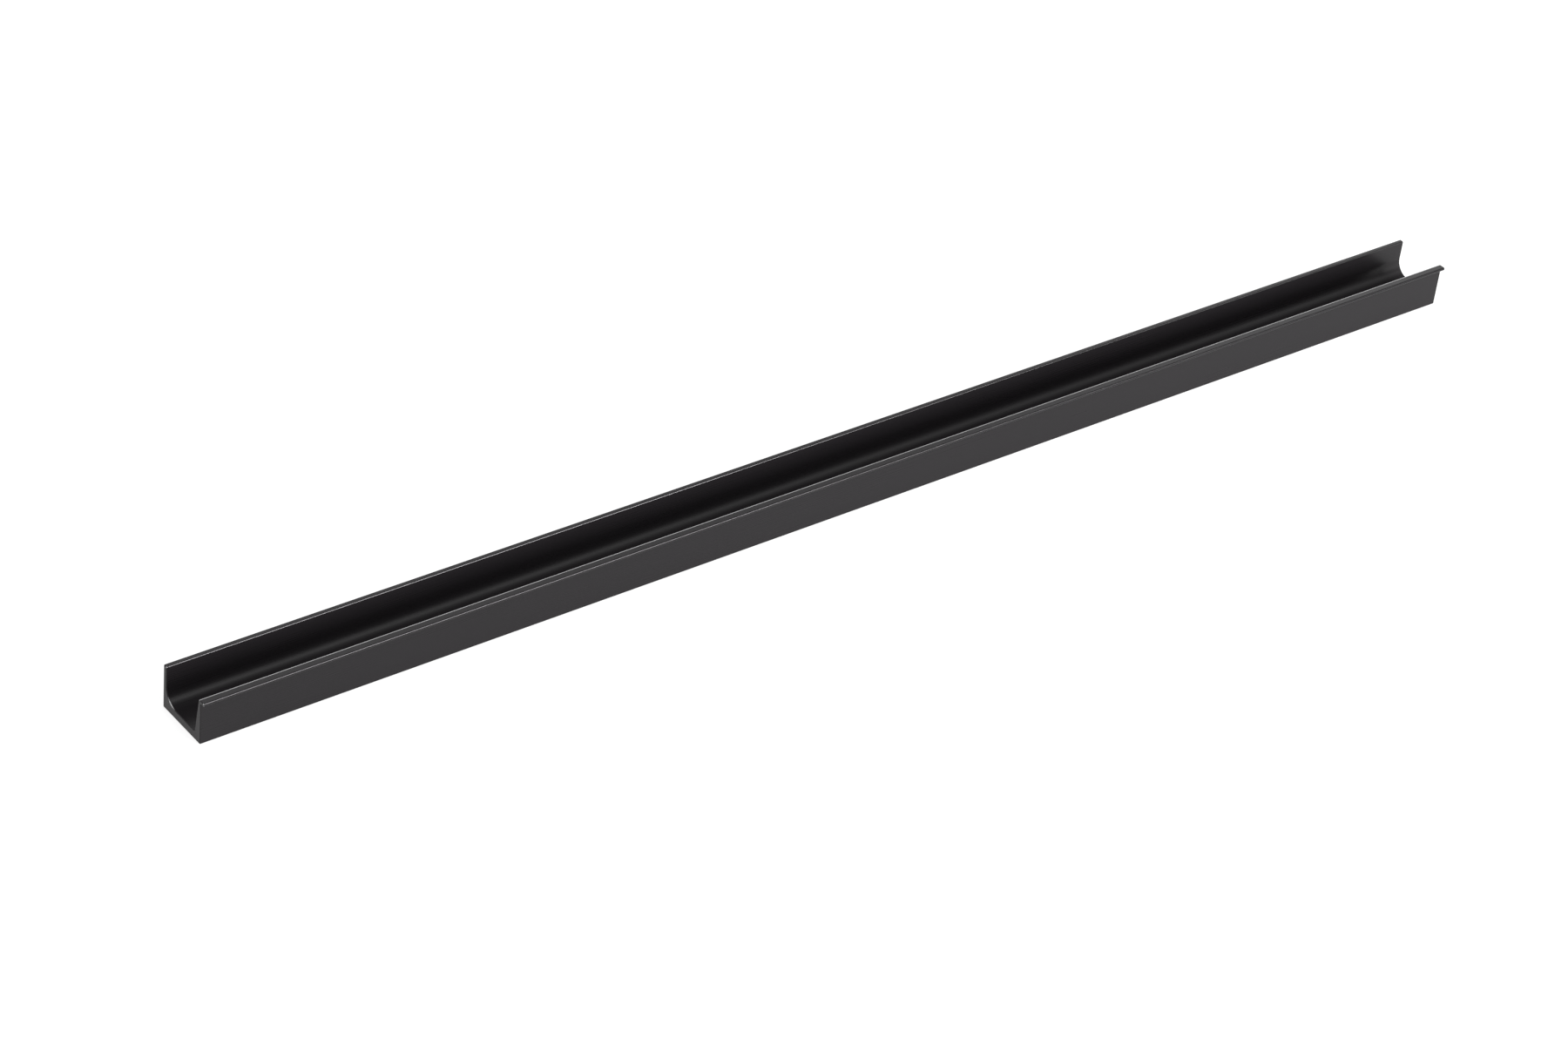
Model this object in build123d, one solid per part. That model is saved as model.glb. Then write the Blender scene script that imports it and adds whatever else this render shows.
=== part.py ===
from build123d import *
import os

os.makedirs("parts", exist_ok=True)

# Edge-grip handle profile for furniture: one length of extruded aluminium.
# X runs along the length, the lip looks to -Y, Z is up. The underside lies on Z = 0.

# Driving dimensions in mm
length = 347.0
channel_depth = 14.4        # back wall's outer face to front wall's outer face
back_height = 10.6
back_thickness = 1.1
floor_thickness = 2.0
front_height = 10.9
front_foot_thickness = 2.15  # front wall where it meets the floor
front_neck_thickness = 0.8   # front wall at its top
lip_overhang = 1.15
lip_thickness = 0.75

# Rounds of the section
finger_radius = 3.8          # back wall into floor, inside the channel
front_inner_radius = 0.45
grip_radius = 0.5            # top of the front wall, the edge that fingers pull on
foot_radius = 0.25           # both lower outside corners
back_top_outer_radius = 0.17
back_top_inner_radius = 0.28
lip_radius = 0.28
lip_root_radius = 0.3
end_break = 0.15             # flat break filed round the two sawn ends

overall_depth = channel_depth + lip_overhang
back_y = overall_depth / 2
front_y = back_y - channel_depth
lip_y = front_y - lip_overhang
lip_underside = front_height - lip_thickness

# Corners of the section as (y, z)
back_foot = (back_y, 0)
back_top_outer = (back_y, back_height)
back_top_inner = (back_y - back_thickness, back_height)
finger_corner = (back_y - back_thickness, floor_thickness)
front_inner_foot = (front_y + front_foot_thickness, floor_thickness)
front_inner_top = (front_y + front_neck_thickness, front_height)
lip_top = (lip_y, front_height)
lip_bottom = (lip_y, lip_underside)
lip_root = (front_y, lip_underside)
front_foot = (front_y, 0)


def rounded(face, corner, radius):
    """The section with the vertex nearest to corner rounded."""
    vertex = face.vertices().sort_by_distance((corner[0], corner[1], 0))[0]
    return fillet(vertex, radius)


outline = Polyline(
    back_foot,
    back_top_outer,
    back_top_inner,
    finger_corner,
    front_inner_foot,
    front_inner_top,
    lip_top,
    lip_bottom,
    lip_root,
    front_foot,
    close=True,
)
section = make_face(outline)
section = rounded(section, finger_corner, finger_radius)
section = rounded(section, front_inner_foot, front_inner_radius)
section = rounded(section, front_inner_top, grip_radius)
section = rounded(section, lip_top, lip_radius)
section = rounded(section, lip_bottom, lip_radius)
section = rounded(section, lip_root, lip_root_radius)
section = rounded(section, front_foot, foot_radius)
section = rounded(section, back_foot, foot_radius)
section = rounded(section, back_top_outer, back_top_outer_radius)
section = rounded(section, back_top_inner, back_top_inner_radius)

# The section is extruded half the length to each side
handle_profile = extrude(Plane.YZ * section, amount=length / 2, both=True)

# Sawn ends, edges broken
left_end = handle_profile.faces().sort_by(Axis.X)[0]
right_end = handle_profile.faces().sort_by(Axis.X)[-1]
handle_profile = chamfer(left_end.edges() + right_end.edges(), end_break)

handle_profile.label = "handle_profile"
export_step(handle_profile, "parts/handle_profile.step")
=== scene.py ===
import math

import bmesh
import bpy
from mathutils import Matrix, Vector


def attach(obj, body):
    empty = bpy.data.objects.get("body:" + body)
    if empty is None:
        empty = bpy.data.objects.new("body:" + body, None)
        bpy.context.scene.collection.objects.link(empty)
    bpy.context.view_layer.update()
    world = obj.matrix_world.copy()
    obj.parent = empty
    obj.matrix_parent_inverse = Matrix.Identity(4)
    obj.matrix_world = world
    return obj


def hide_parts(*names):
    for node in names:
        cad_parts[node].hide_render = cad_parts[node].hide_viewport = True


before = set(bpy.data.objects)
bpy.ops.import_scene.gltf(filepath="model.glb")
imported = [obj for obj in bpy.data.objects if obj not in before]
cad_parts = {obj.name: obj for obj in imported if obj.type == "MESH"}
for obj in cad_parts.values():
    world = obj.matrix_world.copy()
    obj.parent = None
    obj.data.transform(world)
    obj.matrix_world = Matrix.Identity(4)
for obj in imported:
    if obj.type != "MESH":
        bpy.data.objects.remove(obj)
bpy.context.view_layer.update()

MM = 0.001
SQUARE = 90

# Section of the profile in mm, as it was extruded
LENGTH = 347.0
CHANNEL_DEPTH = 14.4
BACK_HEIGHT = 10.6
BACK_THICKNESS = 1.1
FLOOR_THICKNESS = 2.0
FRONT_HEIGHT = 10.9
FOOT_THICKNESS = 2.15
NECK_THICKNESS = 0.8
LIP_OVERHANG = 1.15
LIP_THICKNESS = 0.75

# Rounds in mm
FINGER_RADIUS = 3.8
INNER_FOOT_RADIUS = 0.45
GRIP_RADIUS = 0.5
FOOT_RADIUS = 0.25
BACK_TOP_INNER_RADIUS = 0.28
BACK_TOP_OUTER_RADIUS = 0.17
LIP_RADIUS = 0.28
LIP_ROOT_RADIUS = 0.3
END_BREAK = 0.15

# Steps in each round
FINGER_SEGMENTS = 16
GRIP_SEGMENTS = 8
EDGE_SEGMENTS = 6
FINE_SEGMENTS = 4

# How far the coat is rubbed off, from 0 for covered to 1 for bare metal
GRIP_WEAR = 0.9
BURR_WEAR = 0.55
CORNER_WEAR = 0.5
BACK_TOP_WEAR = 0.075
FOOT_WEAR = 0.07
LIP_WEAR = 0.05

# Burr filed off low in the finger round, in degrees down from the back wall
BURR_FROM = 30
BURR_TO = 90

# Two places in a mesh closer than this are one place, in metres
SAME_PLACE = 1e-6


# Mesh helpers
def edge_at(bm, corner):
    """The long edge that runs along the profile at this corner of the section."""
    y = corner[0] * MM
    z = corner[1] * MM
    return next(
        edge
        for edge in bm.edges
        if all(abs(v.co.y - y) < SAME_PLACE and abs(v.co.z - z) < SAME_PLACE for v in edge.verts)
    )


def round_corner(bm, corner, radius, segments, opening=SQUARE, worn=0.0):
    """Rounds one long edge. The opening is the angle between its two faces, in degrees."""
    reach = radius / math.tan(math.radians(opening) / 2)
    made = bmesh.ops.bevel(
        bm,
        geom=[edge_at(bm, corner)],
        offset=reach * MM,
        offset_type="OFFSET",
        affect="EDGES",
        segments=segments,
        profile=0.5,
        material=-1,
    )
    wear = bm.loops.layers.float["edge_wear"]
    for face in made["faces"]:
        for loop in face.loops:
            loop[wear] = worn


def break_end(bm, end_x):
    """Files a flat 45-degree break round one sawn end, and returns the filed faces."""
    sawn = bm.faces.layers.float["sawn"]
    end = next(f for f in bm.faces if all(abs(v.co.x - end_x) < SAME_PLACE for v in f.verts))
    end[sawn] = 1.0
    made = bmesh.ops.inset_region(bm, faces=[end], thickness=END_BREAK * MM, use_even_offset=True)
    filed = set(made["faces"])
    outer_rim = {v for face in filed for v in face.verts} - set(end.verts)
    inward = -math.copysign(END_BREAK * MM, end_x)
    bmesh.ops.translate(bm, verts=list(outer_rim), vec=(inward, 0, 0))
    for face in filed:
        for edge in face.edges:
            if any(f not in filed for f in edge.link_faces):
                edge.smooth = False
    return filed


def burr_wear(place, round_centre):
    """How bare a place on the break is: most halfway along the stretch where the burr stood."""
    across = place.y - round_centre[0] * MM
    down = round_centre[1] * MM - place.z
    off_round = abs(math.hypot(across, down) - FINGER_RADIUS * MM)
    turned = math.degrees(math.atan2(down, across))
    share = (turned - BURR_FROM) / (BURR_TO - BURR_FROM)
    if off_round > END_BREAK * MM + SAME_PLACE or not 0 < share < 1:
        return 0.0
    return BURR_WEAR * math.sin(math.pi * share) ** 2


def wear_break(bm, filed, round_centre):
    """Bares the break at the worn upper corners, and where the burr stood in the round."""
    wear = bm.loops.layers.float["edge_wear"]
    half_height = BACK_HEIGHT / 2 * MM
    for face in filed:
        beside = [f for edge in face.edges for f in edge.link_faces if f not in filed]
        upper = [f for f in beside if f.calc_center_median().z > half_height]
        bare = CORNER_WEAR if any(f.loops[0][wear] > 0 for f in upper) else 0.0
        for loop in face.loops:
            loop[wear] = max(bare, burr_wear(loop.vert.co, round_centre))


def finished_piece(bm, name, material):
    """A mesh object at the origin, unturned, with its place in its mesh."""
    mesh = bpy.data.meshes.new(name)
    bm.to_mesh(mesh)
    bm.free()
    mesh.materials.append(material)
    piece = bpy.data.objects.new(name, mesh)
    bpy.context.scene.collection.objects.link(piece)
    return piece


# Material helpers
WHITE = (1, 1, 1, 1)

# The middle of a noise, which nearly all of it lies in
NOISE_LOW = 0.3
NOISE_HIGH = 0.7


def new_material(name):
    """A material with its nodes, its links and its shader."""
    material = bpy.data.materials.new(name)
    material.use_nodes = True
    nodes = material.node_tree.nodes
    links = material.node_tree.links
    shader = nodes["Principled BSDF"]
    return material, nodes, links, shader


def computed(nodes, links, operation, *terms):
    """The result of a math node. Each term is a socket or a fixed number."""
    node = nodes.new("ShaderNodeMath")
    node.operation = operation
    for entry, term in zip(node.inputs, terms):
        if isinstance(term, float):
            entry.default_value = term
        else:
            links.new(term, entry)
    return node.outputs["Value"]


def stretched_noise(nodes, links, place, scale, detail, rough):
    """Noise on Object coordinates, with its own scale along X, Y and Z per metre."""
    mapping = nodes.new("ShaderNodeMapping")
    mapping.inputs["Scale"].default_value = scale
    links.new(place, mapping.inputs["Vector"])
    noise = nodes.new("ShaderNodeTexNoise")
    noise.inputs["Scale"].default_value = 1.0
    noise.inputs["Detail"].default_value = detail
    noise.inputs["Roughness"].default_value = rough
    links.new(mapping.outputs["Vector"], noise.inputs["Vector"])
    return noise.outputs["Fac"]


def spread(nodes, links, source, low, high):
    """Maps the middle of a noise onto a range of values."""
    ranged = nodes.new("ShaderNodeMapRange")
    ranged.inputs["From Min"].default_value = NOISE_LOW
    ranged.inputs["From Max"].default_value = NOISE_HIGH
    ranged.inputs["To Min"].default_value = low
    ranged.inputs["To Max"].default_value = high
    links.new(source, ranged.inputs["Value"])
    return ranged.outputs["Result"]


def own_attribute(nodes, name):
    """A value that the mesh carries on its faces or their corners."""
    node = nodes.new("ShaderNodeAttribute")
    node.attribute_name = name
    return node.outputs["Fac"]


def relief(nodes, links, source, height, below=None, strength=None):
    """A bump of this height in metres, laid over the bump below it."""
    bump = nodes.new("ShaderNodeBump")
    bump.inputs["Strength"].default_value = 1.0
    bump.inputs["Distance"].default_value = height
    links.new(source, bump.inputs["Height"])
    if below is not None:
        links.new(below, bump.inputs["Normal"])
    if strength is not None:
        links.new(strength, bump.inputs["Strength"])
    return bump.outputs["Normal"]


def seen_or_mirrored(nodes, links):
    """1 for camera, glossy and transmission rays, 0 for the rays that only carry light."""
    path = nodes.new("ShaderNodeLightPath")
    seen = path.outputs["Is Camera Ray"]
    glossy = path.outputs["Is Glossy Ray"]
    through = path.outputs["Is Transmission Ray"]
    mirrored = computed(nodes, links, "MAXIMUM", glossy, through)
    return computed(nodes, links, "MAXIMUM", seen, mirrored)


# Coat: its patterns per metre along X, Y and Z, then its colours and its gloss
GRAIN_SCALE = (9000, 9000, 9000)
GRAIN_DETAIL = 2.0
GRAIN_ROUGH = 0.6
DIE_LINE_SCALE = (6, 5200, 5200)
DIE_LINE_DETAIL = 3.0
DIE_LINE_ROUGH = 0.65
CLOUD_SCALE = (18, 90, 90)
CLOUD_DETAIL = 3.0
CLOUD_ROUGH = 0.5
COAT_DARK = (0.0120, 0.0107, 0.0119, 1)
COAT_DARK_AT = 0.3
COAT_LIGHT = (0.0158, 0.0141, 0.0157, 1)
COAT_LIGHT_AT = 0.75
BARE_METAL = (0.50, 0.50, 0.505, 1)
METAL_FROM = 0.01
COAT_IOR = 1.27
SHEEN_LOW = 0.26
SHEEN_HIGH = 0.31
LINE_GLOSS = 0.02
SAWN_DULLING = 0.10
WORN_DULLING = 0.12

# Relief of the coat in metres
DIE_LINE_HEIGHT = 0.0000012
GRAIN_HEIGHT = 0.0000020
SAW_MARK_HEIGHT = 0.000009

# Saw marks: where the blade's axis lay, and how close and wavy its arcs are
BLADE_PLACE = (0, 0.060, 0.110)
ARC_SCALE = 1100
ARC_DISTORTION = 1.5
ARC_DETAIL = 2.0


def saw_arcs(nodes, links, place):
    """Arcs left by the round saw blade, as rings round its axis."""
    blade = nodes.new("ShaderNodeMapping")
    blade.inputs["Location"].default_value = BLADE_PLACE
    links.new(place, blade.inputs["Vector"])
    arcs = nodes.new("ShaderNodeTexWave")
    arcs.wave_type = "RINGS"
    arcs.rings_direction = "X"
    arcs.inputs["Scale"].default_value = ARC_SCALE
    arcs.inputs["Distortion"].default_value = ARC_DISTORTION
    arcs.inputs["Detail"].default_value = ARC_DETAIL
    links.new(blade.outputs["Vector"], arcs.inputs["Vector"])
    return arcs.outputs["Fac"]


def satin_black_coat():
    """Satin black coat on extruded aluminium: fine grain over faint lines left by the die."""
    material, nodes, links, shader = new_material("satin_black_coat")
    place = nodes.new("ShaderNodeTexCoord").outputs["Object"]
    grain = stretched_noise(nodes, links, place, GRAIN_SCALE, GRAIN_DETAIL, GRAIN_ROUGH)
    die_lines = stretched_noise(
        nodes, links, place, DIE_LINE_SCALE, DIE_LINE_DETAIL, DIE_LINE_ROUGH
    )
    cloud = stretched_noise(nodes, links, place, CLOUD_SCALE, CLOUD_DETAIL, CLOUD_ROUGH)
    arcs = saw_arcs(nodes, links, place)
    worn = own_attribute(nodes, "edge_wear")
    sawn = own_attribute(nodes, "sawn")

    tone = nodes.new("ShaderNodeValToRGB")
    tone.color_ramp.elements[0].position = COAT_DARK_AT
    tone.color_ramp.elements[0].color = COAT_DARK
    tone.color_ramp.elements[1].position = COAT_LIGHT_AT
    tone.color_ramp.elements[1].color = COAT_LIGHT
    links.new(grain, tone.inputs["Fac"])

    # Metal shows through the thin coat on outer edges, and lies bare where it was rubbed or filed
    edge_tone = nodes.new("ShaderNodeMix")
    edge_tone.data_type = "RGBA"
    edge_tone.inputs["B"].default_value = BARE_METAL
    links.new(worn, edge_tone.inputs["Factor"])
    links.new(tone.outputs["Color"], edge_tone.inputs["A"])
    links.new(edge_tone.outputs["Result"], shader.inputs["Base Color"])
    metal = computed(nodes, links, "GREATER_THAN", worn, METAL_FROM)
    links.new(metal, shader.inputs["Metallic"])

    sheen_patches = spread(nodes, links, cloud, SHEEN_LOW, SHEEN_HIGH)
    line_gloss = spread(nodes, links, die_lines, -LINE_GLOSS, LINE_GLOSS)
    plain = computed(nodes, links, "ADD", sheen_patches, line_gloss)
    dulled = computed(nodes, links, "MULTIPLY_ADD", sawn, SAWN_DULLING, plain)
    rubbed = computed(nodes, links, "MULTIPLY_ADD", worn, WORN_DULLING, dulled)
    links.new(rubbed, shader.inputs["Roughness"])
    shader.inputs["IOR"].default_value = COAT_IOR

    lined = relief(nodes, links, die_lines, DIE_LINE_HEIGHT)
    grained = relief(nodes, links, grain, GRAIN_HEIGHT, below=lined)
    cut = relief(nodes, links, arcs, SAW_MARK_HEIGHT, below=grained, strength=sawn)
    links.new(cut, shader.inputs["Normal"])
    return material


# The handle: one length of profile
def extruded_profile():
    """The section's ten corners, extruded along X, with every long edge rounded."""
    overall_depth = CHANNEL_DEPTH + LIP_OVERHANG
    back_y = overall_depth / 2
    front_y = back_y - CHANNEL_DEPTH
    lip_y = front_y - LIP_OVERHANG
    lip_underside = FRONT_HEIGHT - LIP_THICKNESS

    back_foot = (back_y, 0.0)
    back_top_outer = (back_y, BACK_HEIGHT)
    back_top_inner = (back_y - BACK_THICKNESS, BACK_HEIGHT)
    finger_corner = (back_y - BACK_THICKNESS, FLOOR_THICKNESS)
    inner_foot = (front_y + FOOT_THICKNESS, FLOOR_THICKNESS)
    grip_edge = (front_y + NECK_THICKNESS, FRONT_HEIGHT)
    lip_top = (lip_y, FRONT_HEIGHT)
    lip_bottom = (lip_y, lip_underside)
    lip_root = (front_y, lip_underside)
    front_foot = (front_y, 0.0)
    corners = [
        back_foot,
        back_top_outer,
        back_top_inner,
        finger_corner,
        inner_foot,
        grip_edge,
        lip_top,
        lip_bottom,
        lip_root,
        front_foot,
    ]

    bm = bmesh.new()
    bm.loops.layers.float.new("edge_wear")
    bm.faces.layers.float.new("sawn")
    start = [bm.verts.new((-LENGTH / 2 * MM, y * MM, z * MM)) for y, z in corners]
    section = bm.faces.new(start)
    grown = bmesh.ops.extrude_face_region(bm, geom=[section], use_keep_orig=True)
    far_verts = [g for g in grown["geom"] if isinstance(g, bmesh.types.BMVert)]
    bmesh.ops.translate(bm, verts=far_verts, vec=(LENGTH * MM, 0, 0))
    bmesh.ops.recalc_face_normals(bm, faces=bm.faces)

    # The front wall's inner face slants, so its two corners open wider than a right angle
    rise = FRONT_HEIGHT - FLOOR_THICKNESS
    wide = SQUARE + math.degrees(math.atan((FOOT_THICKNESS - NECK_THICKNESS) / rise))
    round_corner(bm, finger_corner, FINGER_RADIUS, FINGER_SEGMENTS)
    round_corner(bm, inner_foot, INNER_FOOT_RADIUS, EDGE_SEGMENTS, opening=wide)
    round_corner(bm, grip_edge, GRIP_RADIUS, GRIP_SEGMENTS, opening=wide, worn=GRIP_WEAR)
    round_corner(bm, lip_top, LIP_RADIUS, EDGE_SEGMENTS, worn=LIP_WEAR)
    round_corner(bm, lip_bottom, LIP_RADIUS, EDGE_SEGMENTS, worn=LIP_WEAR)
    round_corner(bm, lip_root, LIP_ROOT_RADIUS, EDGE_SEGMENTS)
    round_corner(bm, front_foot, FOOT_RADIUS, EDGE_SEGMENTS, worn=FOOT_WEAR)
    round_corner(bm, back_foot, FOOT_RADIUS, EDGE_SEGMENTS, worn=FOOT_WEAR)
    round_corner(bm, back_top_outer, BACK_TOP_OUTER_RADIUS, FINE_SEGMENTS)
    round_corner(bm, back_top_inner, BACK_TOP_INNER_RADIUS, EDGE_SEGMENTS, worn=BACK_TOP_WEAR)

    # Sawn ends
    round_centre = (finger_corner[0] - FINGER_RADIUS, finger_corner[1] + FINGER_RADIUS)
    for end_x in (LENGTH / 2 * MM, -LENGTH / 2 * MM):
        wear_break(bm, break_end(bm, end_x), round_centre)
    for face in bm.faces:
        face.smooth = True
    return bm


profile = finished_piece(extruded_profile(), "profile", satin_black_coat())
soften = profile.modifiers.new("flat_faces_stay_flat", "WEIGHTED_NORMAL")
soften.mode = "FACE_AREA"
soften.keep_sharp = True
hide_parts("handle_profile")
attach(profile, "root")

# Floor: sizes in metres. It lies a hair under the handle, and its lift makes it read white
FLOOR_HALF_SIZE = 4.0
FLOOR_DROP = 0.00003
FLOOR_TONE = (0.50, 0.50, 0.50, 1)
FLOOR_ROUGHNESS = 0.9
FLOOR_LIFT = 0.70


def pale_floor():
    """Pale floor that reads white to the camera and keeps the shadow."""
    material, nodes, links, shader = new_material("pale_floor")
    shader.inputs["Base Color"].default_value = FLOOR_TONE
    shader.inputs["Roughness"].default_value = FLOOR_ROUGHNESS
    shader.inputs["Specular IOR Level"].default_value = 0.0
    shader.inputs["Emission Color"].default_value = WHITE
    lift = computed(nodes, links, "MULTIPLY", seen_or_mirrored(nodes, links), FLOOR_LIFT)
    links.new(lift, shader.inputs["Emission Strength"])
    return material


floor_mesh = bmesh.new()
bmesh.ops.create_grid(floor_mesh, x_segments=1, y_segments=1, size=FLOOR_HALF_SIZE)
bmesh.ops.translate(floor_mesh, verts=floor_mesh.verts, vec=(0, 0, -FLOOR_DROP))
floor = finished_piece(floor_mesh, "studio_floor", pale_floor())

# Room: its strength as a light, its walls as seen, and where they blend into the ceiling
ROOM_LIGHT = 0.5
WALL_BRIGHTNESS = 1.0
WALL_TOP = 0.24
CEILING_FROM = 0.36

# Ceiling from front to back: how far across from 0 to 1, and how bright there
FRONT_EDGE = (0.20, 0.3)
FRONT_BAND = (0.28, 1.8)
FRONT_BAND_END = (0.34, 1.4)
FALL_START = (0.40, 0.78)
FALL_END = (0.47, 0.32)
DIM_FRONT = (0.52, 0.14)
DIM_BACK = (0.62, 0.14)
BACK_BAND = (0.76, 1.12)
BACK_EDGE = (0.86, 1.05)


def grey(value):
    """A grey of this brightness as a full colour."""
    return (value, value, value, 1)


def studio_world():
    """White walls all round, and a ceiling that is dim between a front and a back band."""
    world = bpy.data.worlds.new("studio")
    bpy.context.scene.world = world
    world.use_nodes = True
    nodes = world.node_tree.nodes
    links = world.node_tree.links
    background = nodes["Background"]
    background.inputs["Color"].default_value = WHITE

    place = nodes.new("ShaderNodeTexCoord")
    axes = nodes.new("ShaderNodeSeparateXYZ")
    links.new(place.outputs["Generated"], axes.inputs["Vector"])
    across = nodes.new("ShaderNodeMapRange")
    across.inputs["From Min"].default_value = -1.0
    links.new(axes.outputs["Y"], across.inputs["Value"])
    ceiling = nodes.new("ShaderNodeValToRGB")
    steps = ceiling.color_ramp.elements
    steps[0].position = FRONT_EDGE[0]
    steps[0].color = grey(FRONT_EDGE[1])
    steps[1].position = BACK_EDGE[0]
    steps[1].color = grey(BACK_EDGE[1])
    front_steps = (FRONT_BAND, FRONT_BAND_END, FALL_START, FALL_END, DIM_FRONT)
    for position, value in front_steps + (DIM_BACK, BACK_BAND):
        steps.new(position).color = grey(value)
    links.new(across.outputs["Result"], ceiling.inputs["Fac"])
    height = nodes.new("ShaderNodeMapRange")
    height.inputs["From Min"].default_value = WALL_TOP
    height.inputs["From Max"].default_value = CEILING_FROM
    links.new(axes.outputs["Z"], height.inputs["Value"])
    room = nodes.new("ShaderNodeMix")
    room.data_type = "FLOAT"
    room.inputs["A"].default_value = WALL_BRIGHTNESS
    links.new(height.outputs["Result"], room.inputs["Factor"])
    links.new(ceiling.outputs["Color"], room.inputs["B"])

    level = nodes.new("ShaderNodeMix")
    level.data_type = "FLOAT"
    level.inputs["A"].default_value = ROOM_LIGHT
    links.new(seen_or_mirrored(nodes, links), level.inputs["Factor"])
    links.new(room.outputs["Result"], level.inputs["B"])
    links.new(level.outputs["Result"], background.inputs["Strength"])


def softbox(name, azimuth, elevation, distance, width, height, radiance):
    """A lamp aimed at the handle. Azimuth 0 stands in front of it, 90 on its right."""
    lamp = bpy.data.lights.new(name, "AREA")
    lamp.shape = "RECTANGLE"
    lamp.size = width
    lamp.size_y = height
    lamp.energy = radiance * math.pi * width * height
    holder = bpy.data.objects.new(name, lamp)
    bpy.context.scene.collection.objects.link(holder)
    turn = math.radians(azimuth)
    rise = math.radians(elevation)
    sideways = math.sin(turn) * math.cos(rise)
    forward = -math.cos(turn) * math.cos(rise)
    away = Vector((sideways, forward, math.sin(rise)))
    holder.location = away * distance
    holder.rotation_mode = "QUATERNION"
    holder.rotation_quaternion = (-away).to_track_quat("-Z", "Y")
    holder.visible_camera = False


studio_world()

# Lamps: angles in degrees, lengths in metres, radiance in watts per steradian and square metre
softbox(
    "softbox_right_front",
    azimuth=23,
    elevation=15,
    distance=1.3,
    width=0.56,
    height=0.46,
    radiance=24.0,
)
softbox(
    "softbox_top_front",
    azimuth=18,
    elevation=52,
    distance=1.3,
    width=0.85,
    height=0.5,
    radiance=1.5,
)
softbox(
    "softbox_back_right",
    azimuth=124,
    elevation=27,
    distance=1.33,
    width=0.36,
    height=0.36,
    radiance=1.2,
)
softbox(
    "softbox_back_left",
    azimuth=158,
    elevation=41,
    distance=1.15,
    width=0.36,
    height=0.36,
    radiance=0.7,
)
softbox(
    "softbox_left",
    azimuth=-90,
    elevation=37,
    distance=1.2,
    width=0.7,
    height=0.45,
    radiance=3.5,
)

# Camera: angles in degrees, its place and clips in metres, lens and sensor in mm
CAMERA_AZIMUTH = -41.011
CAMERA_ELEVATION = 34.613
CAMERA_ROLL = 6.720
CAMERA_PLACE = (-0.51001, -0.56166, 0.51139)
CAMERA_LENS = 94.244
CAMERA_SENSOR = 36.0
CAMERA_NEAR = 0.01
CAMERA_FAR = 50

camera_data = bpy.data.cameras.new("camera")
camera_data.sensor_width = CAMERA_SENSOR
camera_data.lens = CAMERA_LENS
camera_data.clip_start = CAMERA_NEAR
camera_data.clip_end = CAMERA_FAR
camera = bpy.data.objects.new("camera", camera_data)
bpy.context.scene.collection.objects.link(camera)
bpy.context.scene.camera = camera
turn = Matrix.Rotation(math.radians(CAMERA_AZIMUTH), 4, "Z")
tilt = Matrix.Rotation(math.radians(SQUARE - CAMERA_ELEVATION), 4, "X")
roll = Matrix.Rotation(math.radians(CAMERA_ROLL), 4, "Z")
camera.matrix_world = Matrix.Translation(CAMERA_PLACE) @ turn @ tilt @ roll

bpy.context.scene.view_settings.view_transform = "Standard"
